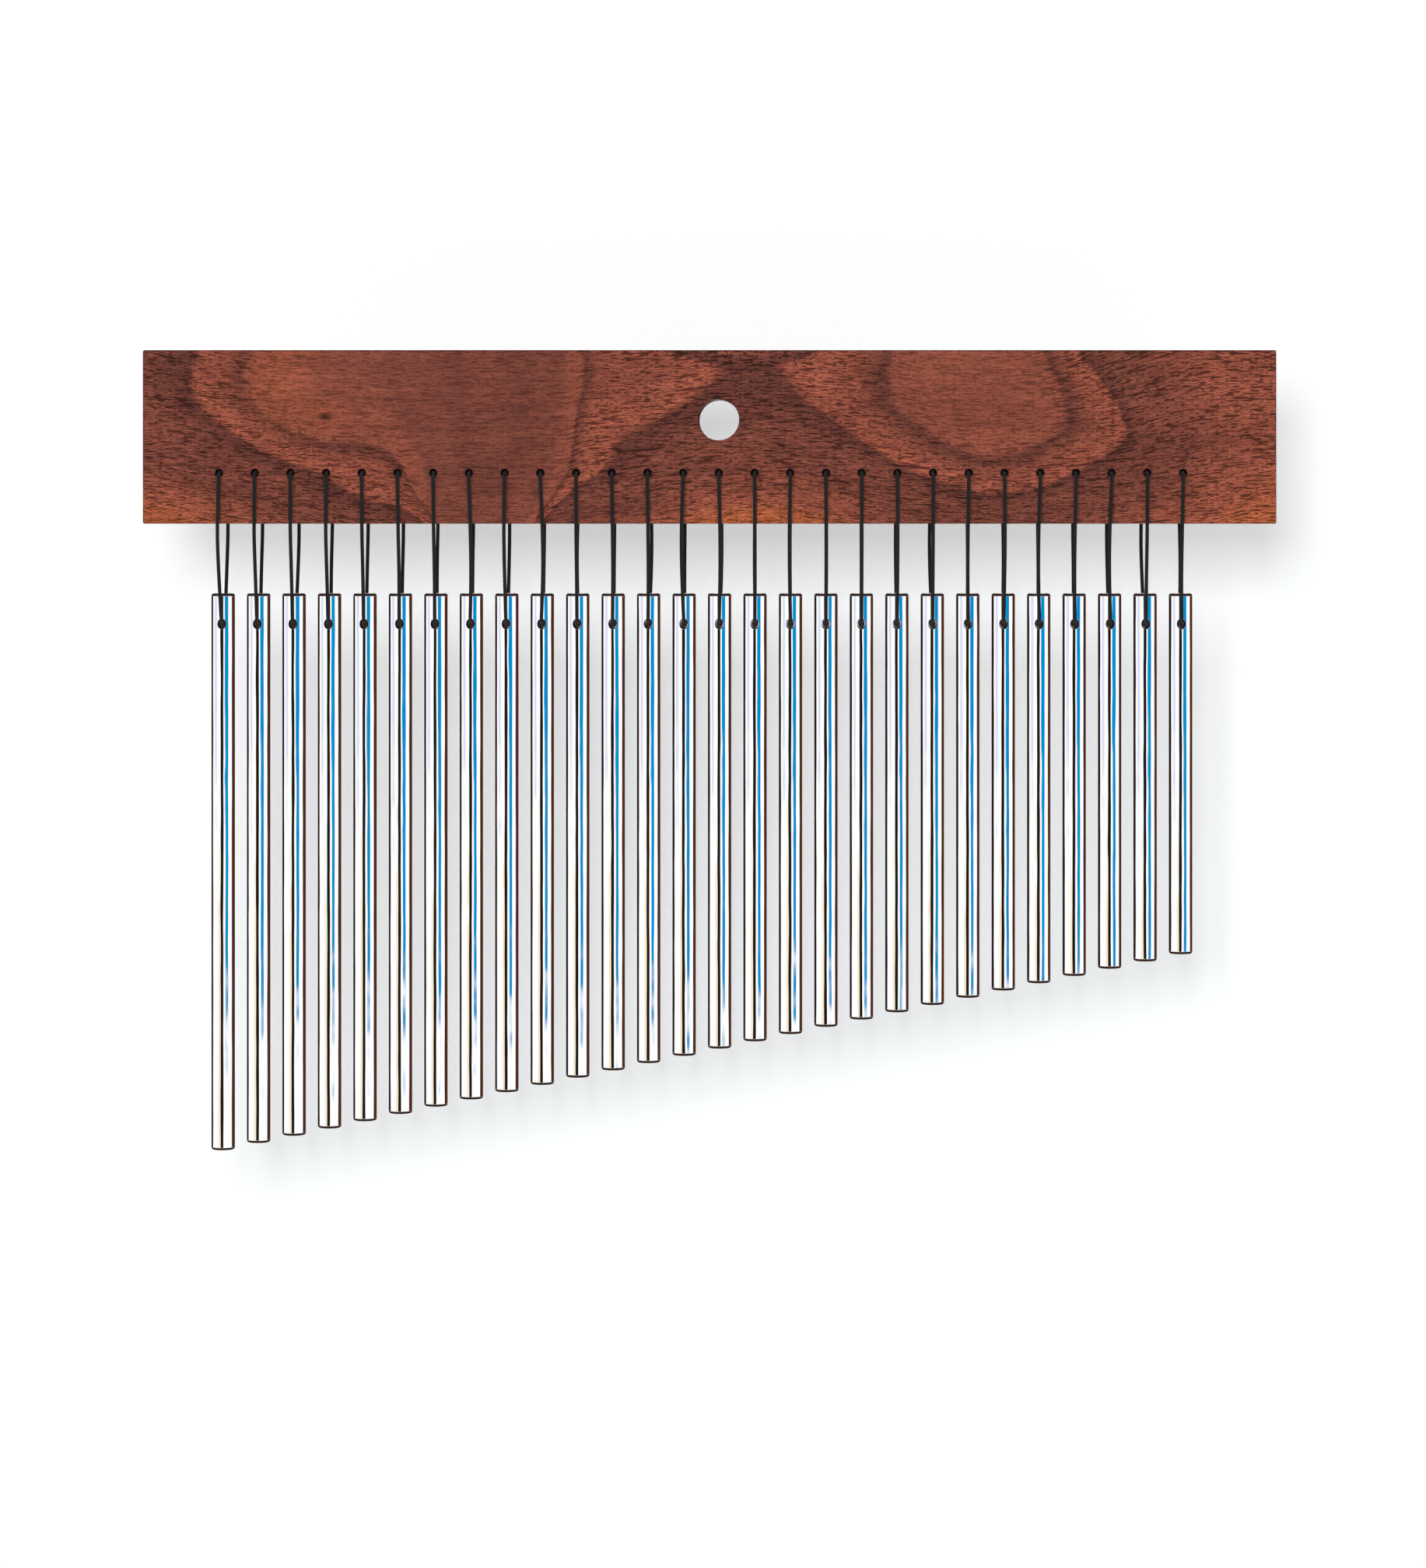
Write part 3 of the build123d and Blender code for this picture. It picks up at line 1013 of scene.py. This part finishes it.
# %% [markdown]
# ## The studio
#
# The chimes hang in front of a white wall, with room for the bars to swing back, and a soft box
# above the camera and a little to its left throws their shadow to the lower right. Round them stand
# white sheets, with dark flags at the sides and behind that draw the bars' edges, a narrow dark gap
# in front where the camera looks through, and a strip of blue beside it. The sheets and flags are
# painted into the world by direction, so only shiny things see them; the room's plain light comes
# evenly from everywhere.

# %% World
FILL = 0.5                  # of the light, evenly from all sides
FLAG_LEFT = srgb(44, 33, 29)
FLAG_RIGHT = srgb(80, 44, 33)
LENS_GAP = srgb(34, 26, 20)
BLUE_STRIP = srgb(0, 146, 212)
CREAM_SHEET = srgb(255, 240, 208)
LILAC_SHEET = srgb(228, 228, 248)
WHITE = (1.0, 1.0, 1.0)
WHITE_SHEET = (1.08, 1.08, 1.08)
LILAC_TURN, LILAC_RISE = (-84, -56), (-4.0, -2.5)       # degrees from the front, and above the level
CREAM_TURN, CREAM_RISE = (-40, -20), (-5.3, -3.3)
BLUE_TURN, BLUE_RISE = (22, 58), (-4.2, -2.2)
LOW_BLUE_TURN, LOW_BLUE_RISE = (29, 57), (-6.6, -5.4)
LENS_GAP_TURN = (-19, 9)
FLAG_RIGHT_TURN, FLAG_LEFT_TURN = (100, 174), (-174, -108)
HEADROOM = (9.0, 20.0)      # degrees up to where the blue ends, and up and down to where the dark thins


def strip(angle, start, end, soft=3.0):
    """1 between two angles, with soft sides."""
    half = soft / 2
    return angle.step(start - half, start + half) * (1.0 - angle.step(end - half, end + half))


def make_world():
    world = bpy.data.worlds.new("studio")
    bpy.context.scene.world = world
    sheet = Sheet(world)
    toward = sheet.node("ShaderNodeTexCoord", output="Generated")
    x, y, z = (sheet.node("ShaderNodeSeparateXYZ", {0: toward}, output=axis) for axis in "XYZ")
    turn = 180 / math.pi
    angle = x.math("ARCTAN2", y * -1.0) * turn
    rise = z.math("ARCSINE") * turn
    level = 1.0 - rise.math("ABSOLUTE").step(*HEADROOM) * 0.3
    lilac = strip(angle, *LILAC_TURN, 10.0) * rise.step(*LILAC_RISE)
    cream = strip(angle, *CREAM_TURN) * (1.0 - rise.step(*CREAM_RISE))
    blue = strip(angle, *BLUE_TURN) * rise.step(*BLUE_RISE)
    blue = blue.high(strip(angle, *LOW_BLUE_TURN) * rise.step(*LOW_BLUE_RISE))
    seen = sheet.mix(lilac, (*WHITE_SHEET, 1), (*LILAC_SHEET, 1))
    for share, colour in ((cream, CREAM_SHEET),
                          (blue * (1.0 - rise.step(*HEADROOM)), BLUE_STRIP),
                          (strip(angle, *LENS_GAP_TURN) * level, LENS_GAP),
                          (strip(angle, *FLAG_RIGHT_TURN, 4.0) * level, FLAG_RIGHT),
                          (strip(angle, *FLAG_LEFT_TURN, 4.0) * level, FLAG_LEFT)):
        seen = sheet.mix(share, seen, (*colour, 1))
    ray = "ShaderNodeLightPath"
    glossy, camera = (sheet.node(ray, output=name) for name in ("Is Glossy Ray", "Is Camera Ray"))
    colour = sheet.mix(glossy, (FILL, FILL, FILL, 1), seen)
    colour = sheet.mix(camera, colour, (*WHITE, 1))
    light = sheet.node("ShaderNodeBackground", {"Color": colour, "Strength": 1.0})
    sheet.node("ShaderNodeOutputWorld", {"Surface": light})
    print("world: even fill", FILL)


make_world()

# %% Soft boxes
LAMPS = [                   # name, place in metres, size in metres, watts
    ("key", (-0.09, -1.7, 0.16), 0.28, 15.0),
    ("back_fill", (0.7, 1.8, 0.9), 1.2, 10.0),
]


def soft_box(name, place, size, watts):
    """A square lamp at that place, facing the middle of the object, that mirrors don't show."""
    data = bpy.data.lights.new(name, "AREA")
    data.shape = "SQUARE"
    data.size = size
    data.energy = watts
    lamp = bpy.data.objects.new(name, data)
    lamp.location = place
    middle = (CAD_BOX[0] + CAD_BOX[1]) / 2
    lamp.rotation_euler = (middle - lamp.location).to_track_quat("-Z", "Y").to_euler()
    lamp.visible_glossy = False
    bpy.context.scene.collection.objects.link(lamp)


for lamp_row in LAMPS:
    soft_box(*lamp_row)
print("lamps: key above the camera, fill behind")

# %% [markdown]
# ## Wall and floor
#
# The wall only receives: it stands behind the chimes, just past the reach of the longest bar's
# swing, and catches their shadow, but it doesn't shade them from the light behind. Seen from behind
# it is clear, so that the back of the chimes can be looked at too. The floor is a plain pale disc
# below.

# %% Stage
WALL_Y = 112.0              # millimetres, as all sizes in this cell
WALL_HALF = 2500.0
FLOOR_Z = -360.0
FLOOR_R = 1500.0
FLOOR_SIDES = 96
PALE = (0.79, 0.81, 0.815)  # a little cool, against the red light that the wood throws on the wall
WALL_GLOW = 0.28            # what the camera sees besides, so that unshaded paint comes out white
FLOOR_GLOW = 0.5            # the lamps only graze the floor


def pale_finish(name, glow, one_sided):
    """Pale paint that also glows a little to the camera, so that it comes out white where nothing
    shades it."""
    finish, sheet = start_finish(name)
    paint = sheet.node("ShaderNodeBsdfDiffuse", {"Color": (*PALE, 1)})
    camera = sheet.node("ShaderNodeLightPath", output="Is Camera Ray")
    shine = sheet.node("ShaderNodeEmission", {"Color": (*WHITE, 1), "Strength": camera * glow})
    surface = sheet.node("ShaderNodeAddShader", {0: paint, 1: shine})
    if one_sided:
        behind = sheet.node("ShaderNodeNewGeometry", output="Backfacing")
        clear = sheet.node("ShaderNodeBsdfTransparent")
        surface = sheet.node("ShaderNodeMixShader", {0: behind, 1: surface, 2: clear})
    sheet.node("ShaderNodeOutputMaterial", {"Surface": surface})
    return finish


def make_stage(name, points, quads, finish):
    mesh = bare_mesh(name, points, quads)
    mesh.materials.append(finish)
    stage = bpy.data.objects.new(name, mesh)
    bpy.context.scene.collection.objects.link(stage)
    return stage


wall_x, wall_z = np.meshgrid([-WALL_HALF, WALL_HALF], [-WALL_HALF, WALL_HALF])
wall_points = np.stack([wall_x, np.full_like(wall_x, WALL_Y), wall_z], axis=-1)
wall = make_stage("wall", *grid(wall_points), pale_finish("wall_paint", WALL_GLOW, True))
wall.visible_diffuse = wall.visible_glossy = wall.visible_shadow = False
floor_turn = np.linspace(0, 2 * np.pi, FLOOR_SIDES, endpoint=False)[::-1]
floor_points = around(floor_turn, np.array([[0.0], [FLOOR_R]]), FLOOR_Z)
floor = make_stage("floor", *grid(floor_points, wrap=True),
                   pale_finish("floor_paint", FLOOR_GLOW, False))
floor.visible_glossy = False
print("stage: wall and floor")

# %% Picture settings
bpy.context.scene.view_settings.view_transform = "Standard"
